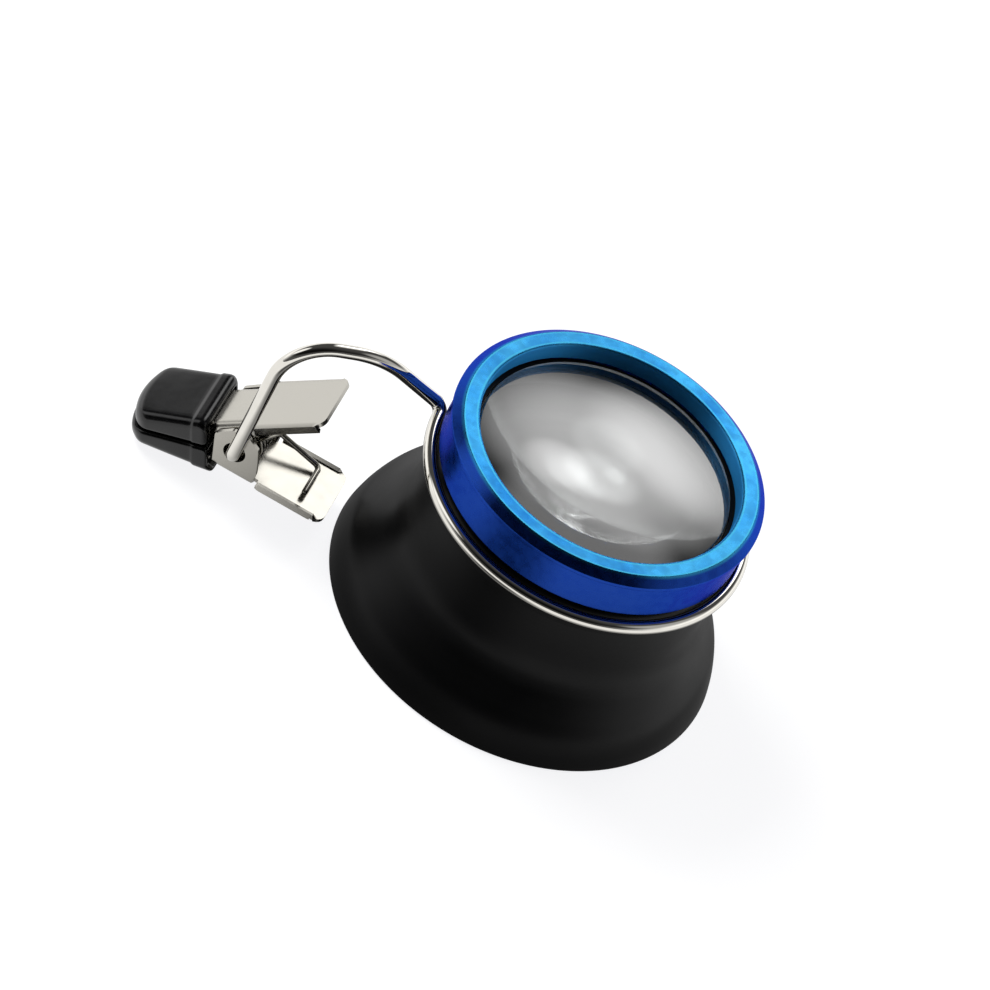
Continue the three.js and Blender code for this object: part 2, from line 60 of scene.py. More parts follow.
# Eye cup
# Injection-moulded black ABS in one turned shape: a flared skirt that seats round the eye, a straight
# neck, and a groove in the neck that the wire loop snaps into. The mould is spark-eroded, so the
# skin is satin with a fine grain, and the flare is a little polished where fingers hold it.
cup_low, cup_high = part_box("eye_cup")
bezel_low, bezel_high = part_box("bezel")
axis_foot = np.array([(cup_low.x + cup_high.x) / 2, (cup_low.y + cup_high.y) / 2, 0.0])
rim_radius = (cup_high.x - cup_low.x) / 2
cup_height = cup_high.z
neck_radius = 14.4 * mm
flare_height = 11.8 * mm
cup_wall = 1.1 * mm
neck_bore = 12.4 * mm
neck_bore_foot = 13.6 * mm
seat_height = 16.1 * mm
counterbore = 13.75 * mm
groove_radius = 13.95 * mm
groove_foot = 15.26 * mm
ledge_radius = 14.5 * mm
moulded_edge = 0.15 * mm
neck_round = 6 * moulded_edge
rim_round = 2 * moulded_edge
thin_edge = 0.07 * mm
sides_round = 256
# Points nearer to each other than this, in metres, are one
same_point = 1e-7
# Outline of the flare: share of the way from neck to rim, share of the flare's height
flare_shares = [
    (0, 1), (0.004, 0.87), (0.03, 0.76), (0.1, 0.66), (0.22, 0.57),
    (0.38, 0.48), (0.56, 0.38), (0.77, 0.26), (0.92, 0.12), (1, 0),
]


def smooth(points, steps=8):
    """Curve through points. Between two of them it is a cubic that leaves and arrives with slopes of
    half the step between the neighbours on either side."""
    points = np.array(points, float)
    padded = np.concatenate([2 * points[:1] - points[1:2], points, 2 * points[-1:] - points[-2:-1]])
    start, end = padded[1:-2, None], padded[2:-1, None]
    leave = (padded[2:-1] - padded[:-3])[:, None] / 2
    arrive = (padded[3:] - padded[1:-2])[:, None] / 2
    t = (np.arange(steps) / steps)[None, :, None]
    bend = 2 * (start - end) + leave + arrive
    curve = start + leave * t + (3 * (end - start) - 2 * leave - arrive) * t**2 + bend * t**3
    return np.concatenate([curve.reshape(-1, points.shape[1]), points[-1:]])


def rounded(corners, radii, steps=5, closed=True, hold_share=0.12):
    """Line through corners with an arc at each. The arc's feet lie radius / tan(half the corner's
    angle) from the corner and its centre radius / sin(half) along the bisector; a spoke sweeps from
    one foot to the other. A point outside each foot, by the hold share of the radius, keeps the flat
    beside it flat in the light."""
    corners = np.array(corners, float)
    radii = np.broadcast_to(np.array(radii, float), len(corners))[:, None].copy()
    if not closed:
        radii[[0, -1]] = 0
    back = np.roll(corners, 1, 0) - corners
    ahead = np.roll(corners, -1, 0) - corners
    back /= np.linalg.norm(back, axis=1, keepdims=True)
    ahead /= np.linalg.norm(ahead, axis=1, keepdims=True)
    half = np.arccos(np.clip((back * ahead).sum(1, keepdims=True), -1, 1)) / 2
    # A straight corner has no bisector, so it is taken as very slightly bent
    slight_bend, tiny = 1e-4, 1e-12
    half = np.minimum(half, math.pi / 2 - slight_bend)
    inner = back + ahead + tiny
    inner /= np.linalg.norm(inner, axis=1, keepdims=True)
    foot = radii / np.tan(half)
    centre = corners + inner * radii / np.sin(half)
    first, last = corners + back * foot - centre, corners + ahead * foot - centre
    turn = (math.pi - 2 * half)[:, None]
    t = (np.arange(steps + 1) / steps)[None, :, None]
    spoke = (np.sin((1 - t) * turn) * first[:, None] + np.sin(t * turn) * last[:, None]) / np.sin(turn)
    arc = centre[:, None] + spoke
    hold = radii * hold_share
    before = (corners + back * (foot + hold))[:, None]
    beyond = (corners + ahead * (foot + hold))[:, None]
    line = np.concatenate([before, arc, beyond], 1).reshape(-1, corners.shape[1])
    step = np.linalg.norm(line - np.roll(line, 1, 0), axis=1)
    step[0] = 1
    return line[step > same_point]


def turned(profile, sides=sides_round):
    """A profile of (radius, height) turned about the loupe's axis: at angle a its point lies at
    (radius cos a, radius sin a, height) from the foot of the axis."""
    angle = np.arange(sides) * 2 * math.pi / sides
    radius, height = profile[:, :1], profile[:, 1:]
    spread = np.stack([radius * np.cos(angle), radius * np.sin(angle), height + 0 * angle], -1)
    return axis_foot + spread


def shell(name, rings, closed=False):
    """Closed mesh over a grid of points (rings, around, 3). Four-sided faces join each ring to the
    next and, when closed, the last to the first; otherwise a fan joins each end ring to its middle.
    Where the signed volume, the sum of a . (b x c) over the faces, is negative they are turned over."""
    count, around = rings.shape[:2]
    points = rings.reshape(-1, 3)
    row = np.arange(count if closed else count - 1)[:, None]
    column = np.arange(around)[None]
    after, beside = (row + 1) % count, (column + 1) % around
    quads = np.stack([
        row * around + column, row * around + beside,
        after * around + beside, after * around + column,
    ], -1).reshape(-1, 4)
    a, b, c, d = (points[quads[:, i]] for i in range(4))
    volume = np.einsum("ij,ij", a, np.cross(b, c)) + np.einsum("ij,ij", a, np.cross(c, d))
    faces = [quads]
    if not closed:
        points = np.concatenate([points, rings[[0, -1]].mean(1)])
        here, there = np.arange(around), (np.arange(around) + 1) % around
        base, pole = (count - 1) * around, count * around
        faces.append(np.stack([there, here, here * 0 + pole], 1))
        faces.append(np.stack([base + here, base + there, here * 0 + pole + 1], 1))
    if volume < 0:
        faces = [group[:, ::-1] for group in faces]
    mesh = bpy.data.meshes.new(name)
    mesh.from_pydata(points, [], [face for group in faces for face in group.tolist()])
    mesh.shade_smooth()
    mesh.update()
    piece = bpy.data.objects.new(name, mesh)
    bpy.context.scene.collection.objects.link(piece)
    return piece


def linear(code):
    """Linear colour of an sRGB hex code. Each channel c becomes c / 12.92 up to 0.04045, and
    ((c + 0.055) / 1.055) to the power 2.4 above it."""
    channels = [int(code[i:i + 2], 16) / 255 for i in (0, 2, 4)]
    return [c / 12.92 if c <= 0.04045 else ((c + 0.055) / 1.055) ** 2.4 for c in channels] + [1]


def add(tree, kind, inputs, **settings):
    """Adds a node, makes its settings and fills its inputs: a value is set, a socket is linked, and
    of a node the first output is linked."""
    node = tree.nodes.new("ShaderNode" + kind)
    for name, value in settings.items():
        setattr(node, name, value)
    for name, value in inputs.items():
        if isinstance(value, bpy.types.Node):
            tree.links.new(value.outputs[0], node.inputs[name])
        elif isinstance(value, bpy.types.NodeSocket):
            tree.links.new(value, node.inputs[name])
        else:
            node.inputs[name].default_value = value
    return node


def new_finish(name):
    """An empty material with its node tree and the coordinates of the piece it is put on."""
    material = bpy.data.materials.new(name)
    material.use_nodes = True
    material.node_tree.nodes.clear()
    place = add(material.node_tree, "TexCoord", {}).outputs["Object"]
    return material, material.node_tree, place


# Moulded ABS has an IOR of 1.54. The spark-eroded grain is about 0.08 mm, drawn at 0.14 mm to show.
abs_black, tree, place = new_finish("Black ABS, spark-eroded")
grain = add(tree, "TexNoise", {"Vector": place, "Scale": 1 / (0.14 * mm), "Detail": 2.0})
handled = add(tree, "TexNoise", {"Vector": place, "Scale": 1 / (7 * mm), "Detail": 3.0})
shade = add(tree, "MixRGB", {"Fac": grain, 1: linear("020203"), 2: linear("070708")})
relief = add(tree, "Bump", {"Height": grain, "Distance": 0.004 * mm, "Strength": 0.4})
polish = add(tree, "MapRange", {
    "Value": handled, "From Min": 0.35, "From Max": 0.65, "To Min": 0.33, "To Max": 0.42,
})
skin = add(tree, "BsdfPrincipled", {
    "Base Color": shade, "IOR": 1.54, "Specular IOR Level": 0.16, "Roughness": polish,
    "Normal": relief,
})
add(tree, "OutputMaterial", {"Surface": skin})

flare = np.array([
    (neck_radius + (rim_radius - neck_radius) * out, flare_height * up) for out, up in flare_shares
])
flare = smooth(flare)
flare[:, 0] = np.minimum(flare[:, 0], rim_radius)
upper = rounded([
    (neck_bore, neck_bore_foot), (neck_bore, seat_height), (counterbore, seat_height),
    (counterbore, cup_height), (groove_radius, cup_height), (groove_radius, groove_foot),
    (ledge_radius, groove_foot), (neck_radius, groove_foot - neck_round), flare[0],
], [0, moulded_edge, moulded_edge, thin_edge, thin_edge, moulded_edge, moulded_edge,
    neck_round, 0], closed=False)
rim_arc = rounded([
    flare[-2], (rim_radius, 0), (rim_radius - cup_wall, 0), flare[-2] - (cup_wall, 0),
], [0, rim_round, rim_round, 0], closed=False)
inside = (flare[:-1] - (cup_wall, 0))[::-1]
eye_cup = shell("eye_cup_moulding", turned(np.concatenate([
    upper[:-1], flare[:-2], rim_arc[:-1], inside,
])), closed=True)
eye_cup.data.materials.append(abs_black)
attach(eye_cup, "loupe")
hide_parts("eye_cup")

# Lens ring
# Turned black acetal that screws in under the lens, with two notches for a pin spanner. Fine
# tool marks run round it, and the notches are milled.
ring_low, ring_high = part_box("lens_ring")
ring_radius = (ring_high.x - ring_low.x) / 2
ring_bore = 11.95 * mm
notch_width = 1.6 * mm
notch_reach = 0.4 * mm
notch_side = 0.12 * mm
turned_edge = 0.08 * mm

# Acetal has an IOR of 1.48. The wave repeats after 0.31 of the length in its scale, so the tool
# marks lie 0.5 mm apart, coarser than real ones so that they show as a soft striped sheen.
mark_scale = 1.6 * mm
acetal, tree, place = new_finish("Black acetal, turned")
centred = add(tree, "Mapping", {"Vector": place, "Location": tuple(-axis_foot)})
rings_round = add(tree, "TexWave", {
    "Vector": centred, "Scale": 1 / mark_scale, "Distortion": 0.4,
}, wave_type="RINGS", rings_direction="Z")
relief = add(tree, "Bump", {"Height": rings_round.outputs["Fac"], "Distance": 0.004 * mm})
turned_sheen = add(tree, "MapRange", {
    "Value": rings_round.outputs["Fac"], "To Min": 0.36, "To Max": 0.46,
})
skin = add(tree, "BsdfPrincipled", {
    "Base Color": linear("0B0B0C"), "IOR": 1.48, "Normal": relief, "Roughness": turned_sheen,
})
add(tree, "OutputMaterial", {"Surface": skin})

profile = rounded([
    (ring_bore, ring_low.z), (ring_radius, ring_low.z),
    (ring_radius, ring_high.z), (ring_bore, ring_high.z),
], turned_edge)
rings = turned(profile) - axis_foot
# The bore widens by the notch's reach where a point lies within half its width of the X axis
from_axis = np.abs(rings[..., 1])
notch = np.clip((notch_width / 2 + notch_side - from_axis) / notch_side, 0, 1)
radius = np.linalg.norm(rings[..., :2], axis=-1)
inward = np.clip((ring_radius - radius) / (ring_radius - ring_bore), 0, 1)
rings[..., :2] *= (1 + notch * inward * notch_reach / radius)[..., None]
lens_ring = shell("lens_ring_turned", rings + axis_foot, closed=True)
lens_ring.data.materials.append(acetal)
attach(lens_ring, "loupe")
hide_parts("lens_ring")

# Lens
# One thick double-convex lens of ground and polished optical glass. Its rim is ground to a step that
# the gasket bears on, and looks frosted from the side. A small bevel keeps it from chipping.
lens_low, lens_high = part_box("lens")
lens_radius = (lens_high.x - lens_low.x) / 2
lens_edge_foot = 17.9 * mm
lens_edge_top = 19.3 * mm
dome_radius = 11.93 * mm
dome_foot = 20.4 * mm
ground_bevel = 0.15 * mm
lens_sides = 192
dome_rings = 40
dome_eye = 0.02

# Optical glass has an IOR of 1.52. Its hard coat reflects more than bare glass. The ground edge is
# rough, and the faces are polished but for a faint smear some 5 mm wide.
optical_glass, tree, place = new_finish("Optical glass, hard coated")
centred = add(tree, "Mapping", {"Vector": place, "Location": tuple(-axis_foot), "Scale": (1, 1, 0)})
out = add(tree, "VectorMath", {0: centred}, operation="LENGTH")
smear = add(tree, "TexNoise", {"Vector": place, "Scale": 1 / (5 * mm), "Detail": 2.0})
polish = add(tree, "MapRange", {
    "Value": smear, "From Min": 0.45, "From Max": 0.75, "To Min": 0.0, "To Max": 0.01,
})
ground = add(tree, "MapRange", {
    "Value": out.outputs["Value"], "From Min": dome_radius - ground_bevel,
    "From Max": dome_radius, "To Min": 0.0, "To Max": 0.45,
})
rough = add(tree, "Math", {0: polish, 1: ground}, operation="MAXIMUM")
glass = add(tree, "BsdfPrincipled", {
    "Base Color": linear("EEF2F1"), "IOR": 1.52, "Transmission Weight": 1.0, "Roughness": rough,
    "Coat Weight": 1.0, "Coat Roughness": 0.0, "Coat IOR": 2.0,
})
add(tree, "OutputMaterial", {"Surface": glass})


def dome(radius, edge, bulge):
    """Height of a spherical dome above its edge: with the sphere's radius s = (edge^2 + bulge^2) /
    (2 bulge), the height at a distance from the axis is sqrt(s^2 - distance^2) - (s - bulge)."""
    sphere = (edge * edge + bulge * bulge) / (2 * bulge)
    return np.sqrt(sphere * sphere - radius * radius) - (sphere - bulge)


shares = np.linspace(dome_eye, 1, dome_rings)
under = lens_radius * shares
over = dome_radius * shares
below = np.stack([under, lens_edge_foot - dome(under, lens_radius, lens_edge_foot - lens_low.z)], 1)
above = np.stack([over, dome_foot + dome(over, dome_radius, lens_high.z - dome_foot)], 1)
edge = rounded([
    below[-2], (lens_radius, lens_edge_foot), (lens_radius, lens_edge_top),
    (dome_radius, lens_edge_top), (dome_radius, dome_foot), above[-2],
], ground_bevel, closed=False)
profile = np.concatenate([below[:-2], edge, above[:-2][::-1]])
lens = shell("lens_polished", turned(profile, lens_sides))
lens.data.materials.append(optical_glass)
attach(lens, "loupe")
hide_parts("lens")

# Gasket
# A thin ring of black nitrile rubber between the lens and the bezel's lip. It takes up the screw's
# pressure and shows as a dark line round the glass.
gasket_low, gasket_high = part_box("lens_gasket")
gasket_radius = (gasket_high.x - gasket_low.x) / 2
gasket_bore = 12.05 * mm
gasket_edge = 0.1 * mm

# Moulded nitrile has an IOR of about 1.5. Its dry bloom, in specks of 0.5 mm, makes it matt.
nitrile, tree, place = new_finish("Black nitrile rubber")
bloom = add(tree, "TexNoise", {"Vector": place, "Scale": 1 / (0.5 * mm), "Detail": 4.0})
matt = add(tree, "MapRange", {"Value": bloom, "To Min": 0.55, "To Max": 0.75})
skin = add(tree, "BsdfPrincipled", {"Base Color": linear("0A0A0B"), "IOR": 1.5, "Roughness": matt})
add(tree, "OutputMaterial", {"Surface": skin})
profile = rounded([
    (gasket_bore, gasket_low.z), (gasket_radius, gasket_low.z),
    (gasket_radius, gasket_high.z), (gasket_bore, gasket_high.z),
], gasket_edge)
gasket = shell("lens_gasket_rubber", turned(profile), closed=True)
gasket.data.materials.append(nitrile)
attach(gasket, "loupe")
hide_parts("lens_gasket")

# Bezel
# A ring of turned aluminium, bead-blasted and anodised blue. A chamfer runs round its top, the edges
# are broken by a fine bevel that catches the light, and its skirt screws into the cup.
bezel_radius = (bezel_high.x - bezel_low.x) / 2
bezel_top = bezel_high.z
skirt_foot = bezel_low.z
bezel_bottom = 17.4 * mm
bezel_wall = 14.5 * mm
band_foot = 21.05 * mm
band_step = 0.2 * mm
face_radius = 13.94 * mm
chamfer_foot = 21.4 * mm
aperture_radius = 12.4 * mm
lip_foot = 20.3 * mm
pocket_radius = 12.95 * mm
skirt_radius = 13.45 * mm
broken_edge = 0.1 * mm
face_edge = 0.12 * mm
aperture_edge = 0.22 * mm
edge_highlight_width = 0.09 * mm
bezel_sides = 320

# Anodised aluminium is a metal seen through a dyed, glass-clear oxide. The blasting leaves dimples of
# about 0.06 mm, drawn at 0.1 mm. The top face's paler dye, in patches of about 6 mm, is painted light,
# and so are the thin paler bands at its two edges, which are painted highlights, and the bore's paler
# dye; the bore was left rough. The turning marks run round the ring, so they spread a highlight across
# themselves: outwards on the top, upwards on the wall.
anodised, tree, place = new_finish("Blue anodised aluminium")
blast = add(tree, "TexNoise", {"Vector": place, "Scale": 1 / (0.1 * mm), "Detail": 2.0})
cloud = add(tree, "TexNoise", {"Vector": place, "Scale": 1 / (0.9 * mm), "Detail": 5.0})
uneven = add(tree, "MapRange", {"Value": cloud, "From Min": 0.35, "From Max": 0.65})
side_dye = add(tree, "MixRGB", {"Fac": uneven, 1: linear("143FA0"), 2: linear("1A47AA")})
patches = add(tree, "TexNoise", {"Vector": place, "Scale": 1 / (6 * mm), "Detail": 6.0})
thinner = add(tree, "MapRange", {"Value": patches, "From Min": 0.35, "From Max": 0.65})
# Painted light: the top face is coloured paler than the wall, as if lit from above
top_painted_paler = add(tree, "MixRGB", {"Fac": thinner, 1: linear("1468A8"), 2: linear("3490C0")})
# Painted highlights: thin paler bands along the top's two edges
edge_highlight_paint = add(tree, "MixRGB", {"Fac": uneven, 1: linear("2F8CB0"), 2: linear("3CA0BE")})
height = add(tree, "SeparateXYZ", {0: place})
on_top = add(tree, "MapRange", {
    "Value": height.outputs["Z"], "From Min": bezel_top - 2 * broken_edge,
    "From Max": bezel_top - broken_edge / 2,
})
dye_and_painted_light = add(tree, "MixRGB", {"Fac": on_top, 1: side_dye, 2: top_painted_paler})
centred = add(tree, "Mapping", {"Vector": place, "Location": tuple(-axis_foot), "Scale": (1, 1, 0)})
out = add(tree, "VectorMath", {0: centred}, operation="LENGTH")
for edge_radius in (aperture_radius + aperture_edge + edge_highlight_width, face_radius - edge_highlight_width):
    beside = add(tree, "Math", {0: out.outputs["Value"], 1: edge_radius}, operation="SUBTRACT")
    distance = add(tree, "Math", {0: beside}, operation="ABSOLUTE")
    painted_edge_highlight = add(tree, "MapRange", {
        "Value": distance, "From Min": edge_highlight_width / 2, "From Max": edge_highlight_width,
        "To Min": 0.9, "To Max": 0.0,
    })
    edge_highlight_mask = add(tree, "Math", {0: painted_edge_highlight, 1: on_top}, operation="MULTIPLY")
    dye_and_painted_light = add(tree, "MixRGB", {"Fac": edge_highlight_mask, 1: dye_and_painted_light, 2: edge_highlight_paint})
# Painted light: the bore is coloured much paler to look lit
bore_painted_light = linear("3FAEF4")
in_bore = add(tree, "MapRange", {
    "Value": out.outputs["Value"], "From Min": aperture_radius + 0.02 * mm,
    "From Max": aperture_radius + aperture_edge / 2, "To Min": 1.0, "To Max": 0.0,
})
dye_and_painted_light = add(tree, "MixRGB", {"Fac": in_bore, 1: dye_and_painted_light, 2: bore_painted_light})
relief = add(tree, "Bump", {"Height": blast, "Distance": 0.003 * mm, "Strength": 0.5})
blasted = add(tree, "MapRange", {"Value": uneven, "To Min": 0.24, "To Max": 0.32})
frost = add(tree, "MapRange", {"Value": in_bore, "To Min": blasted, "To Max": 0.55})
outwards = add(tree, "VectorMath", {0: centred}, operation="NORMALIZE")
across_marks = add(tree, "VectorMath", {0: outwards, 1: (0, 0, 1)}, operation="ADD")
oxide = add(tree, "BsdfPrincipled", {
    "Base Color": dye_and_painted_light, "Metallic": 1.0, "Normal": relief, "Roughness": frost,
    "Anisotropic": 0.8, "Tangent": across_marks,
    "Specular Tint": linear("A0A4FF"), "Coat Weight": 0.1, "Coat Roughness": 0.25, "Coat IOR": 1.6,
})
add(tree, "OutputMaterial", {"Surface": oxide})
profile = rounded([
    (aperture_radius, lip_foot), (aperture_radius, bezel_top), (face_radius, bezel_top),
    (bezel_radius, chamfer_foot), (bezel_radius, band_foot), (bezel_wall, band_foot - band_step),
    (bezel_wall, bezel_bottom), (skirt_radius, bezel_bottom), (skirt_radius, skirt_foot),
    (pocket_radius, skirt_foot), (pocket_radius, lip_foot),
], [broken_edge, aperture_edge, face_edge] + [broken_edge] * 8)
bezel = shell("bezel_anodised", turned(profile, bezel_sides), closed=True)
bezel.data.materials.append(anodised)
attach(bezel, "loupe")
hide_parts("bezel")

# Wire holder
# One hard-drawn steel wire, bright nickel plated after bending. Its loop lies in the cup's groove,
# an elbow lifts it into an arm that arches over to the clip, and its end is the clip's hinge pin,
# turned up so that the clip stays on.
wire_radius = 0.64 * mm
wire_gap = 0.3 * mm
loop_radius = groove_radius + wire_gap + wire_radius
loop_height = groove_foot + wire_gap + wire_radius
loop_end = math.radians(183.3)
loop_span = math.radians(339)
elbow_reach = 1.55 * mm
elbow_bend = 0.9 * mm
arm_rise = 4.9 * mm
knee_share = 0.46
knee_bend = 9.6 * mm
shoulder_bend = 4.55 * mm
pin_bend = 1.05 * mm
hook_rise = 2.6 * mm
loop_steps = 240
finger_half = 3.55 * mm
pin = np.array([j for j in frame["joints"] if j["name"] == "jaw_open"][0]["pos_m"])


def wire(name, path, radius, around=28, cap_steps=6):
    """Round wire along a path. A side vector is carried along it, less its part along the wire at
    each point, and the section is radius (cos a side + sin a (wire x side)). Each end is a half
    sphere: at angle p past its foot the section has radius cos p and lies radius sin p further on."""
    start = path[0] - path[1]
    start /= np.linalg.norm(start)
    end = path[-1] - path[-2]
    end /= np.linalg.norm(end)
    swing = np.linspace(0, math.pi / 2, cap_steps + 1)[1:-1]
    foot, top = path[0] - start * radius, path[-1] - end * radius
    line = np.concatenate([
        foot + start * radius * np.sin(swing[::-1, None]), [foot],
        path[1:-1], [top], top + end * radius * np.sin(swing[:, None]),
    ])
    plain = np.ones(len(path) - 2)
    girth = radius * np.concatenate([np.cos(swing[::-1]), [1], plain, [1], np.cos(swing)])
    along = np.gradient(line, axis=0)
    along /= np.linalg.norm(along, axis=1, keepdims=True)
    side = np.cross(along[0], along[0][[1, 2, 0]])
    sides = []
    for direction in along:
        side = side - direction * (side @ direction)
        side = side / np.linalg.norm(side)
        sides.append(side)
    sides = np.array(sides)
    other = np.cross(along, sides)
    angle = (np.arange(around) * 2 * math.pi / around)[None, :, None]
    section = np.cos(angle) * sides[:, None] + np.sin(angle) * other[:, None]
    return shell(name, line[:, None] + girth[:, None, None] * section)


# Nickel reflects warmly. The plate is bright, with the faint lines that drawing leaves in the wire.
bright_nickel, tree, place = new_finish("Bright nickel plate on drawn wire")
flow = add(tree, "TexNoise", {"Vector": place, "Scale": 1 / (1.1 * mm), "Detail": 5.0})
drawn = add(tree, "TexNoise", {"Vector": place, "Scale": 1 / (0.18 * mm), "Detail": 2.0})
relief = add(tree, "Bump", {"Height": drawn, "Distance": 0.002 * mm, "Strength": 0.3})
tone = add(tree, "MixRGB", {"Fac": flow, 1: linear("DAD7CF"), 2: linear("E8E5DE")})
gloss = add(tree, "MapRange", {
    "Value": flow, "From Min": 0.3, "From Max": 0.7, "To Min": 0.03, "To Max": 0.06,
})
plate = add(tree, "BsdfPrincipled", {
    "Base Color": tone, "Metallic": 1.0, "Normal": relief, "Roughness": gloss,
})
add(tree, "OutputMaterial", {"Surface": plate})

turn = loop_end + loop_span * np.linspace(1, 0, loop_steps)
loop = np.stack([loop_radius * np.cos(turn), loop_radius * np.sin(turn), 0 * turn], 1)
loop += axis_foot + (0, 0, loop_height)
heading = loop_end - math.pi / 2
elbow = loop[-1] + elbow_reach * np.array([math.cos(heading), math.sin(heading), 0])
near_y = pin[1] - finger_half - wire_radius - wire_gap
far_y = pin[1] + finger_half + wire_radius + wire_gap
shoulder = np.array([pin[0], near_y, loop_height + arm_rise])
knee = elbow + (shoulder - elbow) * knee_share
knee[2] = shoulder[2]
arm = rounded([
    loop[-1], elbow, knee, shoulder, (pin[0], near_y, pin[2]), (pin[0], far_y, pin[2]),
    (pin[0], far_y, pin[2] + hook_rise),
], [0, elbow_bend, knee_bend, shoulder_bend, pin_bend, pin_bend, 0], steps=18, closed=False,
    hold_share=0)
wire_holder = wire("wire_holder_plated", np.concatenate([loop[:-1], arm]), wire_radius)
wire_holder.data.materials.append(bright_nickel)
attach(wire_holder, "holder")
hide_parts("wire_holder")

# Clip jaws
# Two pressings of 0.4 mm steel, blanked, drilled, folded and barrel plated in nickel, so that the
# edges are softened. Each is a finger plate with two ears round the pin and a tongue for the rubber
# tip, and the upper one's ears are set closer, to nest between the lower ones.
sheet = 0.4 * mm
plate_drop = 2.65 * mm
finger_length = 9.75 * mm
finger_corner = 1 * mm
jaw_bend = -1.5 * mm
jaw_turn = math.radians(11)
jaw_length = 5.3 * mm
jaw_half = 3.2 * mm
pin_hole = 1.06 * mm
waist_half = 2.9 * mm
outer_ear_foot = 2.65 * mm
outer_ear_radius = 2.55 * mm
inner_ear_radius = 2.05 * mm
fold = 0.45 * mm
relief_width = 0.35 * mm
relief_depth = 0.15 * mm
corner_round = 0.15 * mm
front_round = 0.5 * mm
ear_round = 0.4 * mm
back_round = 0.3 * mm
tongue_round = 0.6 * mm
tongue_step = 0.1 * mm
tongue_shoulder = 0.5 * mm
bend_margin = 0.3 * mm
# Where an ear's front and back edges start, as shares of its radius under the pin
ear_front_share, ear_back_share = 0.45, 0.8
hole_sides = 40
blank_pitch = 0.2 * mm
burr = 0.06 * mm
sharp_angle = math.radians(50)
clip_tilt = math.radians(20)
finger_spread = math.radians(20)
ear_corner_shares = [(0.9, 5), (0.94, 40), (0.97, 76), (0.97, 114), (1, 157)]
clip_place = Matrix.Translation(pin) @ Matrix.Rotation(-clip_tilt, 4, "Y")
lower_place = clip_place @ Matrix.Rotation(finger_spread, 4, "Y")
turned_over = clip_place @ Matrix.Rotation(math.pi, 4, "X")
upper_place = turned_over @ Matrix.Rotation(finger_spread, 4, "Y")


def jaw(name, ear_half, ear_radius, ear_foot, place):
    """A jaw, worked out as the flat blank that it is pressed from. The blank's outline and its two
    holes are filled with triangles over a lattice of points; (s, t) are along and across it. Past the
    fold line, t runs round an arc of the fold's radius and then up the ear; past the jaw's bend, s
    runs down a slope. A wall is then grown on both sides of this middle surface."""
    middle = sheet / 2 - plate_drop
    line = ear_half - sheet / 2 - fold
    quarter = fold * math.pi / 2

    def across(height):
        """Distance across the blank at which an ear reaches a height over the pin."""
        return line + quarter + height - middle - fold

    ear = []
    for share, a in ear_corner_shares:
        beside = ear_radius * share * math.cos(math.radians(a))
        above = ear_radius * share * math.sin(math.radians(a))
        ear.append((beside, across(above)))
    jaw_wide = min(jaw_half, ear_half - sheet)
    notch = line - relief_depth
    wide = [
        (finger_length, 0), (finger_length, finger_half), (ear_foot + relief_width, finger_half),
        (ear_foot + relief_width, notch), (ear_foot, notch),
        (ear_foot, across(-ear_radius * ear_front_share)),
    ]
    tongue_end = jaw_bend - jaw_length
    tongue = [
        (jaw_bend, across(-ear_radius * ear_back_share)), (jaw_bend - tongue_step, notch),
        (jaw_bend - tongue_shoulder, jaw_wide), (tongue_end, jaw_wide), (tongue_end, 0),
    ]
    round_off = [0, finger_corner, corner_round, corner_round / 2, corner_round / 2, front_round]
    round_off += [ear_round] * len(ear) + [back_round, corner_round, corner_round, tongue_round, 0]
    half = rounded(wide + ear + tongue, round_off, closed=False)[1:-1]
    outline = np.concatenate([half, half[::-1] * (1, -1)])
    angle = np.arange(hole_sides) * 2 * math.pi / hole_sides
    hole = np.stack([pin_hole * np.cos(angle), pin_hole * np.sin(angle)], 1)
    holes = [hole + (0, across(0)), hole - (0, across(0))]
    low, high = outline.min(0), outline.max(0)
    columns, rows = np.ceil((high - low) / blank_pitch).astype(int)
    lattice = np.stack(np.meshgrid(
        np.linspace(low[0], high[0], columns), np.linspace(low[1], high[1], rows)), -1).reshape(-1, 2)
    loops = [outline] + holes
    edges, faces, first = [], [], 0
    for loop_points in loops:
        index = first + np.arange(len(loop_points))
        edges += np.stack([index, np.roll(index, -1)], 1).tolist()
        faces.append(index.tolist())
        first += len(loop_points)
    given = [Vector(p) for p in np.concatenate(loops + [lattice])]
    flat, _, triangles, _, _, _ = delaunay_2d_cdt(given, edges, faces, 2, same_point)
    flat = np.array(flat)
    used = np.unique(np.array(triangles))
    renamed = np.zeros(len(flat), int)
    renamed[used] = np.arange(len(used))
    triangles = renamed[np.array(triangles)]
    s, t = flat[used].T
    past = np.clip(np.abs(t) - line, 0, None)
    beside = (s > ear_foot + relief_width / 2) | (s < jaw_bend - bend_margin)
    arc = np.where(beside & (np.abs(t) < finger_half), 0, np.clip(past / fold, 0, math.pi / 2))
    beyond = np.where(arc > 0, np.clip(past - quarter, 0, None), 0)
    y = np.where(arc > 0, line + fold * np.sin(arc), np.abs(t)) * np.sign(t)
    z = middle + fold * (1 - np.cos(arc)) + beyond
    down = np.clip(jaw_bend - s, 0, None)
    level = 1 - np.clip(2 * arc, 0, 1)
    x = s + down * (1 - math.cos(jaw_turn)) * level
    z = z - down * math.sin(jaw_turn) * level
    mesh = bpy.data.meshes.new(name)
    mesh.from_pydata(np.stack([x, y, z], 1), [], triangles.tolist())
    mesh.transform(place)
    mesh.shade_smooth()
    mesh.update()
    piece = bpy.data.objects.new(name, mesh)
    bpy.context.scene.collection.objects.link(piece)
    wall = piece.modifiers.new("wall", "SOLIDIFY")
    wall.thickness = sheet
    wall.offset = 0
    worn = piece.modifiers.new("worn edges", "BEVEL")
    worn.width = burr
    worn.segments = 2
    worn.limit_method = "ANGLE"
    worn.angle_limit = sharp_angle
    worn.harden_normals = True
    return piece


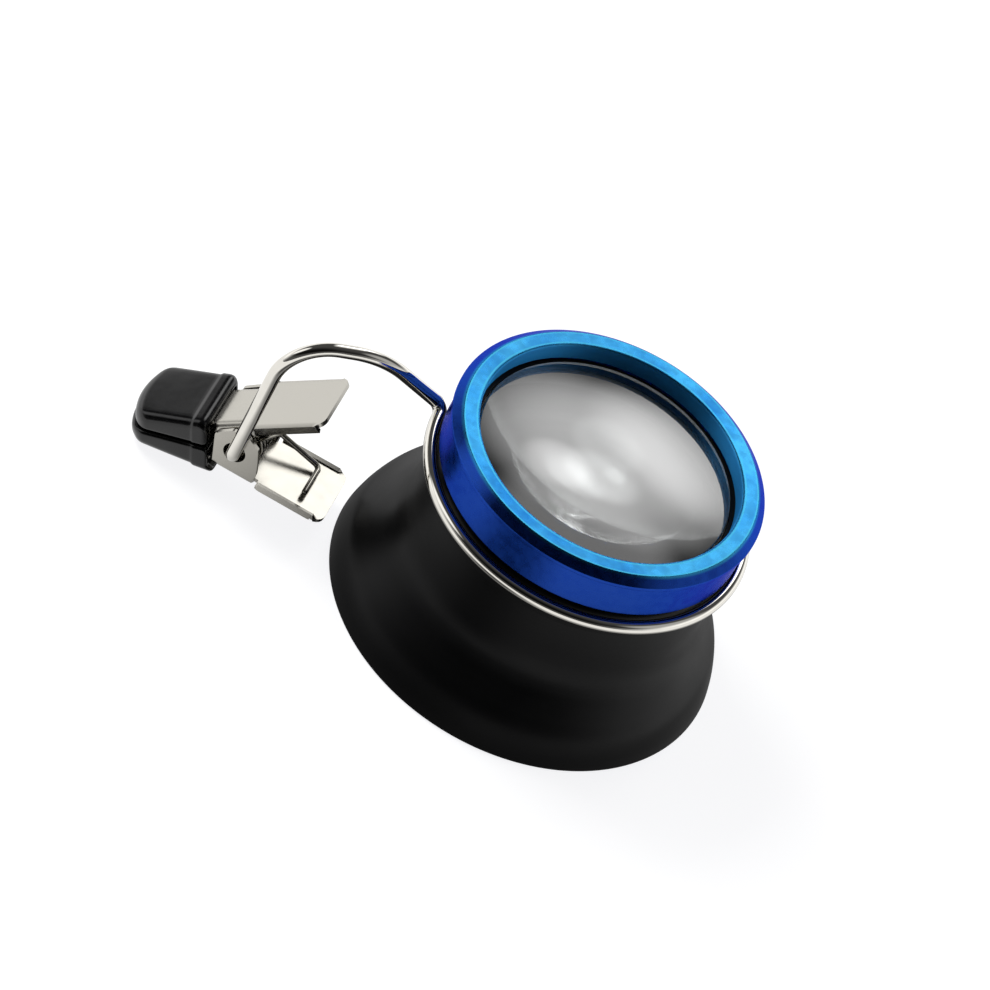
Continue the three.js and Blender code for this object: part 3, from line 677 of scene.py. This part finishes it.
# Barrel-plated nickel on cold-rolled strip: the rolling leaves fine lines along the blank, about
# 0.05 mm apart and drawn at 0.12 mm, and tumbling leaves a soft mottle.
strip_nickel, tree, place = new_finish("Nickel plated cold-rolled strip")
along_strip = add(tree, "Mapping", {"Vector": place, "Scale": (0.06, 1, 0.4)})
rolled = add(tree, "TexNoise", {
    "Vector": along_strip, "Scale": 1 / (0.12 * mm), "Detail": 3.0,
})
mottle = add(tree, "TexNoise", {"Vector": place, "Scale": 1 / (1.3 * mm), "Detail": 4.0})
relief = add(tree, "Bump", {"Height": rolled, "Distance": 0.001 * mm, "Strength": 0.3})
tone = add(tree, "MixRGB", {"Fac": mottle, 1: linear("B2AFA7"), 2: linear("C0BDB5")})
satin = add(tree, "MapRange", {
    "Value": mottle, "From Min": 0.3, "From Max": 0.7, "To Min": 0.2, "To Max": 0.27,
})
plate = add(tree, "BsdfPrincipled", {
    "Base Color": tone, "Metallic": 1.0, "Normal": relief, "Roughness": satin,
})
add(tree, "OutputMaterial", {"Surface": plate})

lower_jaw = jaw("lower_jaw_pressing", finger_half, outer_ear_radius, outer_ear_foot, lower_place)
upper_jaw = jaw("upper_jaw_pressing", waist_half, inner_ear_radius, inner_ear_radius, upper_place)
for piece, node, body in (
    (lower_jaw, "lower_jaw", "clip_lower"),
    (upper_jaw, "upper_jaw", "clip_upper"),
):
    piece.data.materials.append(strip_nickel)
    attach(piece, body)
    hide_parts(node)

# Rubber tips
# Thick black vinyl that each jaw's tongue is dipped in. It cures glossy, fills out the corners into
# soft rounds and gathers in a raised rim at the rear; the lower one has a heel under its plate.
tip_rear = 2.5 * mm
tip_half = 4.05 * mm
tip_bow = 1.1 * mm
tip_corner = 1.3 * mm
tip_edge = 0.85 * mm
jaw_gap = 0.12 * mm
lip_round = 0.4 * mm
tip_fit = 0.2 * mm
rim_rise = 0.1 * mm
rim_width = 1.35 * mm
rim_slope = 0.35 * mm
sharp_rear = 0.3 * mm
heel_top = 2.1 * mm
heel_blend = 0.45 * mm
heel_depth = 1.5 * mm
pocket_round = 0.1 * mm
pocket_lip = 0.2 * mm
pocket_slack = 0.1 * mm
# Steps round a corner and across a side, and rings along the front, the side, the rim and the rear
corner_steps, side_steps = 9, 16
front_rings, side_rings, rim_rings, rear_rings = 14, 18, 14, 10
# The most that a corner's radius takes up of the section's height, and of its half width
outer_most, inner_most, half_most = 0.6, 0.35, 0.9
side_rear_share = 0.6
front_shares = (0.35, 0.7)
upper_tip = {"reach": 10.3 * mm, "rear_drop": 2.8 * mm, "front_drop": 1.85 * mm, "heel": 0.0}
lower_tip = {"reach": 10.65 * mm, "rear_drop": 2.95 * mm, "front_drop": 1.75 * mm, "heel": 0.5 * mm}


def section(u, half, low, high, outer, inner):
    """Rounded rectangle in (y, z) at a distance u from the pin, counterclockwise from its right side.
    Its inner edges, towards the middle plane, have one radius and its outer edges another."""
    sweep = np.linspace(0, math.pi / 2, corner_steps)[:, None]
    outer = min(outer, (high - low) * outer_most, half * half_most)
    inner = min(inner, (high - low) * inner_most)
    line = []
    for quarter, side, level, radius in (
        (0, 1, high, inner), (1, -1, high, inner), (2, -1, low, outer), (3, 1, low, outer),
    ):
        angle = sweep + quarter * math.pi / 2
        towards = 1 if level == high else -1
        middle = np.array([side * (half - radius), level - towards * radius])
        line.append(middle + radius * np.concatenate([np.cos(angle), np.sin(angle)], 1))
    across = np.linspace(0, 1, side_steps)[1:-1, None]
    top = line[0][-1] + (line[1][0] - line[0][-1]) * across
    bottom = line[2][-1] + (line[3][0] - line[2][-1]) * across
    points = np.concatenate([line[0], top, line[1], line[2], bottom, line[3]])
    return np.concatenate([np.full((len(points), 1), -u), points], 1)


def rubber_tip(name, size, pocket_half, place):
    """One tip as sections from its front to its rear face and back along the pocket for the jaw. Near
    an end with rounding r, at a distance a from it, a side falls in by r - sqrt(r^2 - (r - a)^2). The
    front is bowed: u falls by the bow times (y / half width)^2 times (share of the length)^2. The heel
    draws the rear back where it lies lower than the plate."""
    def fall(radius, distance):
        near = max(0.0, radius - distance)
        return radius - math.sqrt(radius**2 - near**2)

    reach, heel = size["reach"], size["heel"]
    length = reach - tip_rear
    rim_start = length - rim_width - rim_slope
    rear_round = sharp_rear if heel else tip_edge
    ends = np.concatenate([
        tip_corner * (1 - np.cos(np.linspace(0, math.pi / 2, front_rings))),
        np.linspace(tip_corner, rim_start, side_rings)[1:],
        np.linspace(rim_start, length - rear_round, rim_rings)[1:-1],
        length - rear_round * (1 - np.cos(np.linspace(math.pi / 2, 0, rear_rings))),
    ])
    rings = []
    for a in ends:
        drop = size["front_drop"] + (size["rear_drop"] - size["front_drop"]) * a / length
        rise = np.clip((a - rim_start) / rim_slope, 0, 1)
        rim = rim_rise * (rise * rise * (3 - 2 * rise) - 1)
        drawn = fall(tip_corner, a) + fall(side_rear_share * rear_round, length - a) - rim
        lifted = fall(tip_edge, a) + fall(rear_round, length - a) - rim
        inner = fall(lip_round, a) + fall(lip_round, length - a)
        ring = section(
            reach - a, tip_half - drawn, lifted - drop, -jaw_gap - inner, tip_edge, lip_round
        )
        rings.append(ring)
    front = rings[0]
    middle = front.mean(0)
    rings = [middle + (front - middle) * share for share in front_shares] + rings
    body = np.array(rings)
    share = (-body[..., 0] - tip_rear) / length
    body[..., 0] += tip_bow * (body[..., 1] / tip_half) ** 2 * share**2
    low = np.clip((-body[..., 2] - heel_top) / heel_blend, 0, 1)
    near_rear = np.clip(1 - share * length / heel_depth, 0, 1)
    body[..., 0] += heel * low * low * (3 - 2 * low) * near_rear
    # The pocket follows the jaw's tongue, which slopes towards the middle plane
    slope = math.tan(finger_spread - jaw_turn)
    tongue = Matrix.Rotation(finger_spread, 4, "Y") @ Vector((jaw_bend, 0, sheet / 2 - plate_drop))
    wall = sheet / 2 + tip_fit
    pocket = []
    for u in (tip_rear, tip_rear + pocket_lip, -tongue.x + jaw_length - pocket_slack):
        level = tongue.z + (u + tongue.x) * slope
        pocket.append(section(
            u, pocket_half + tip_fit, level - wall, level + wall, pocket_round, pocket_round
        ))
    piece = shell(name, np.concatenate([body, pocket]))
    piece.data.transform(place)
    return piece


# Cured vinyl has an IOR of about 1.5 and a wet gloss. The dip's waviness is about 2 mm.
dipped_vinyl, tree, place = new_finish("Black dipped vinyl")
sag = add(tree, "TexNoise", {"Vector": place, "Scale": 1 / (2.0 * mm), "Detail": 1.0})
dust = add(tree, "TexNoise", {"Vector": place, "Scale": 1 / (0.3 * mm), "Detail": 4.0})
relief = add(tree, "Bump", {"Height": sag, "Distance": 0.04 * mm, "Strength": 0.5})
wet = add(tree, "MapRange", {
    "Value": dust, "From Min": 0.4, "From Max": 0.7, "To Min": 0.16, "To Max": 0.24,
})
skin = add(tree, "BsdfPrincipled", {
    "Base Color": linear("040405"), "IOR": 1.5, "Normal": relief, "Roughness": wet,
})
add(tree, "OutputMaterial", {"Surface": skin})

for piece, node, body in (
    (rubber_tip("lower_tip_dipped", lower_tip, jaw_half, clip_place), "lower_tip", "clip_lower"),
    (rubber_tip("upper_tip_dipped", upper_tip, waist_half, turned_over), "upper_tip", "clip_upper"),
):
    piece.data.materials.append(dipped_vinyl)
    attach(piece, body)
    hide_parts(node)

# Clip spring
# A torsion spring of hard-drawn music wire, wound round the pin. A leg runs out under each finger
# plate and ends in a cross-piece that bears on it.
spring_radius = 0.27 * mm
coil_radius = 1.62 * mm
coil_offset = 0.42 * mm
coil_half = 1.98 * mm
coil_turns = 6
coil_exit = math.radians(15)
leg_reach = 7.1 * mm
leg_gap = 0.3 * mm
cross_length = 3.95 * mm
steps_per_turn = 48

# Music wire plated without polishing is duller and rougher than the holder, so its turns show as
# soft stripes.
music_wire, tree, place = new_finish("Nickel plated music wire")
flow = add(tree, "TexNoise", {"Vector": place, "Scale": 1 / (0.6 * mm), "Detail": 4.0})
tone = add(tree, "MixRGB", {"Fac": flow, 1: linear("A09C92"), 2: linear("C2BFB6")})
gloss = add(tree, "MapRange", {
    "Value": flow, "From Min": 0.3, "From Max": 0.7, "To Min": 0.14, "To Max": 0.22,
})
plate = add(tree, "BsdfPrincipled", {"Base Color": tone, "Metallic": 1.0, "Roughness": gloss})
add(tree, "OutputMaterial", {"Surface": plate})

bearing = Matrix.Rotation(finger_spread, 4, "Y") @ Vector((
    leg_reach, 0, sheet - plate_drop + leg_gap + spring_radius))
wound = 2 * math.pi * coil_turns + 2 * coil_exit
angle = coil_exit - wound * np.linspace(0, 1, steps_per_turn * coil_turns)
coil = np.stack([
    coil_offset + coil_radius * np.cos(angle), coil_half * np.linspace(-1, 1, len(angle)),
    coil_radius * np.sin(angle),
], 1)
onwards = np.array([-math.sin(coil_exit), 0, -math.cos(coil_exit)])
leg = rounded([
    coil[-1], coil[-1] + onwards * 2 * spring_radius, (bearing.x, coil_half, bearing.z),
    (bearing.x, coil_half - cross_length, bearing.z),
], [0, spring_radius, 2 * spring_radius, 0], steps=10, closed=False)
other_leg = (leg * (1, -1, -1))[::-1]
spring_line = np.concatenate([other_leg[:-1], coil, leg[1:]])
clip_spring = wire("clip_spring_wound", spring_line, spring_radius, around=16, cap_steps=4)
clip_spring.data.transform(clip_place)
clip_spring.data.materials.append(music_wire)
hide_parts("clip_spring")
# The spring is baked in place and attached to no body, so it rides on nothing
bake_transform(clip_spring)

# Table
# A sheet of white laminate that the loupe stands on. The camera sees it glow just enough to join the
# white room, with a soft shadow. In metal and glass it glows white too, but for painted shadow: a dark
# patch in front for the shade of the camera and its stand, and painted shade under and round the cup.
table_half = 1.5
table_gap = 0.01 * mm
shadow_depth = 0.3
shadow_tint = (shadow_depth, shadow_depth, shadow_depth * 0.94, 1)
glow_tint = (0.86, 0.862, 0.88, 1)
# Painted shadow of the camera and its stand: a dark patch in the glow that metal and glass see
shadow_patch_middle = axis_foot + (-13 * mm, -34 * mm, 0)
shadow_patch_core = 7 * mm
shadow_patch_edge = 19 * mm
# Painted shade round the cup's foot, in the glow that metal and glass see
cup_shade_core = 24 * mm
cup_shade_edge = 37 * mm
shadow_patch_level, open_level, cup_shade_level = 0.1, 1.05, 0.28

# Laminate is satin, and its fibres vary the roughness in spots of about 4 mm.
laminate, tree, place = new_finish("White laminate")
rays = add(tree, "LightPath", {})
fibre = add(tree, "TexNoise", {"Vector": place, "Scale": 1 / (4 * mm), "Detail": 3.0})
matt = add(tree, "MapRange", {"Value": fibre, "To Min": 0.3, "To Max": 0.5})
lit = add(tree, "BsdfDiffuse", {"Color": linear("E6E6E6"), "Roughness": matt})
shadowed = add(tree, "BsdfDiffuse", {"Color": shadow_tint})
glow = add(tree, "Emission", {"Color": glow_tint})
shown = add(tree, "AddShader", {0: shadowed, 1: glow})
away = add(tree, "VectorMath", {0: place, 1: shadow_patch_middle}, operation="DISTANCE")
level = add(tree, "MapRange", {
    "Value": away.outputs["Value"], "From Min": shadow_patch_core, "From Max": shadow_patch_edge,
    "To Min": shadow_patch_level, "To Max": open_level,
})
# Painted shade: the glow is dimmer under and near the cup
from_axis = add(tree, "VectorMath", {0: place, 1: axis_foot}, operation="DISTANCE")
painted_cup_shade = add(tree, "MapRange", {
    "Value": from_axis.outputs["Value"], "From Min": cup_shade_core, "From Max": cup_shade_edge,
    "To Min": cup_shade_level, "To Max": 1.0,
})
painted_shade_level = add(tree, "Math", {0: level, 1: painted_cup_shade}, operation="MULTIPLY")
mirrored = add(tree, "Emission", {"Strength": painted_shade_level})
in_metal = add(tree, "MixShader", {0: rays.outputs["Is Glossy Ray"], 1: lit, 2: mirrored})
in_glass = add(tree, "MixShader", {0: rays.outputs["Is Transmission Ray"], 1: in_metal, 2: mirrored})
seen = add(tree, "MixShader", {0: rays.outputs["Is Camera Ray"], 1: in_glass, 2: shown})
add(tree, "OutputMaterial", {"Surface": seen})

table_mesh = bpy.data.meshes.new("table")
corners = table_half * np.array([(-1, -1), (1, -1), (1, 1), (-1, 1)])
table_mesh.from_pydata([(x, y, -table_gap) for x, y in corners], [], [(0, 1, 2, 3)])
table = bpy.data.objects.new("table", table_mesh)
bpy.context.scene.collection.objects.link(table)
table.data.materials.append(laminate)

# Room
# As metal and glass see it: white low down behind and beside the loupe, dark overhead and in front,
# where the camera stands, with soft panels behind, on both sides and over the loupe. The camera
# itself sees plain white.
wall_radiance, dark_radiance = 1.3, 0.07
wall_full, wall_end = 0.15, 0.5
front_dark, front_end = -0.75, 0.1
# Direction, half angles of the core and of the edge in degrees, radiance
panels = (
    ((0.0, 0.74, 0.67), 3, 15, 2.2),
    ((0.13, 0.83, 0.54), 3, 12, 1.6),
    ((-0.06, 0.67, 0.74), 1, 4.5, 1.4),
    ((0.8, 0.06, 0.6), 10, 25, 0.4),
    ((-0.8, -0.12, 0.58), 9, 20, 1.2),
    ((0.05, 0.5, 0.866), 8, 14, 0.8),
)

world = bpy.data.worlds.new("Room")
world.use_nodes = True
bpy.context.scene.world = world
tree = world.node_tree
tree.nodes.clear()
rays = add(tree, "LightPath", {})
way = add(tree, "TexCoord", {}).outputs["Generated"]
parts = add(tree, "SeparateXYZ", {0: way})
low = add(tree, "MapRange", {
    "Value": parts.outputs["Z"], "From Min": wall_full, "From Max": wall_end,
    "To Min": wall_radiance, "To Max": dark_radiance,
}, interpolation_type="SMOOTHSTEP")
beyond = add(tree, "MapRange", {
    "Value": parts.outputs["Y"], "From Min": front_dark, "From Max": front_end,
    "To Min": dark_radiance, "To Max": 1.0,
}, interpolation_type="SMOOTHSTEP")
level = add(tree, "Math", {0: low, 1: beyond}, operation="MULTIPLY")
for direction, core, edge, radiance in panels:
    ahead = Vector(direction).normalized()
    facing = add(tree, "VectorMath", {0: way, 1: ahead}, operation="DOT_PRODUCT")
    panel = add(tree, "MapRange", {
        "Value": facing.outputs["Value"], "From Min": math.cos(math.radians(edge)),
        "From Max": math.cos(math.radians(core)), "To Min": 0.0, "To Max": radiance,
    }, interpolation_type="SMOOTHSTEP")
    level = add(tree, "Math", {0: level, 1: panel}, operation="ADD")
walls = add(tree, "Background", {"Color": (1, 1, 1, 1), "Strength": level})
plain = add(tree, "Background", {"Color": (1, 1, 1, 1), "Strength": 1.0})
seen = add(tree, "MixShader", {0: rays.outputs["Is Camera Ray"], 1: walls, 2: plain})
add(tree, "OutputWorld", {"Surface": seen})

# Lamps
# One soft box as a product photographer sets it, behind on the left, so that the shadow falls to the
# front and right. Metal and glass mirror the room's panels in its place.
box_way = Vector((-0.9, 0.35, 1.0)).normalized()
box_distance = 0.5
box_width, box_height = 0.24, 0.24
box_radiance = 10.0

box_data = bpy.data.lights.new("soft_box", "AREA")
box_data.shape = "RECTANGLE"
box_data.size, box_data.size_y = box_width, box_height
box_data.energy = math.pi * box_width * box_height * box_radiance
soft_box = bpy.data.objects.new("soft_box", box_data)
soft_box.location = Vector(axis_foot) + box_way * box_distance
soft_box.rotation_mode = "QUATERNION"
soft_box.rotation_quaternion = box_way.to_track_quat("Z", "Y")
soft_box.visible_glossy = False
soft_box.visible_transmission = False
bpy.context.scene.collection.objects.link(soft_box)

# Camera
# A long lens from above and in front, held with a roll. Its place, roll and focal length were fitted
# to the ellipses of the rim, the wire loop and the bezel in the photograph.
camera_elevation = math.radians(43.25)
camera_roll = math.radians(29.66)
camera_distance = 600 * mm
aim_height = 11 * mm
aim_right = 6.31 * mm
aim_up = -3.3 * mm
focal_pixels = 6750
picture_pixels = 990
film_width = 36
back = Vector((0, -math.cos(camera_elevation), math.sin(camera_elevation)))
level_right = Vector((1, 0, 0))
level_up = back.cross(level_right)
right = level_right * math.cos(camera_roll) + level_up * math.sin(camera_roll)
up = level_up * math.cos(camera_roll) - level_right * math.sin(camera_roll)
camera_data = bpy.data.cameras.new("camera")
camera_data.sensor_width = film_width
camera_data.lens = film_width * (focal_pixels / picture_pixels)
camera_data.clip_start = 20 * mm
camera = bpy.data.objects.new("camera", camera_data)
place_of_camera = Vector(axis_foot) + Vector((0, 0, aim_height)) + back * camera_distance
place_of_camera -= right * aim_right + up * aim_up
turned_to = Matrix((right, up, back)).transposed().to_4x4()
camera.matrix_world = Matrix.Translation(place_of_camera) @ turned_to
bpy.context.scene.collection.objects.link(camera)
bpy.context.scene.camera = camera

bpy.context.scene.view_settings.view_transform = "Standard"
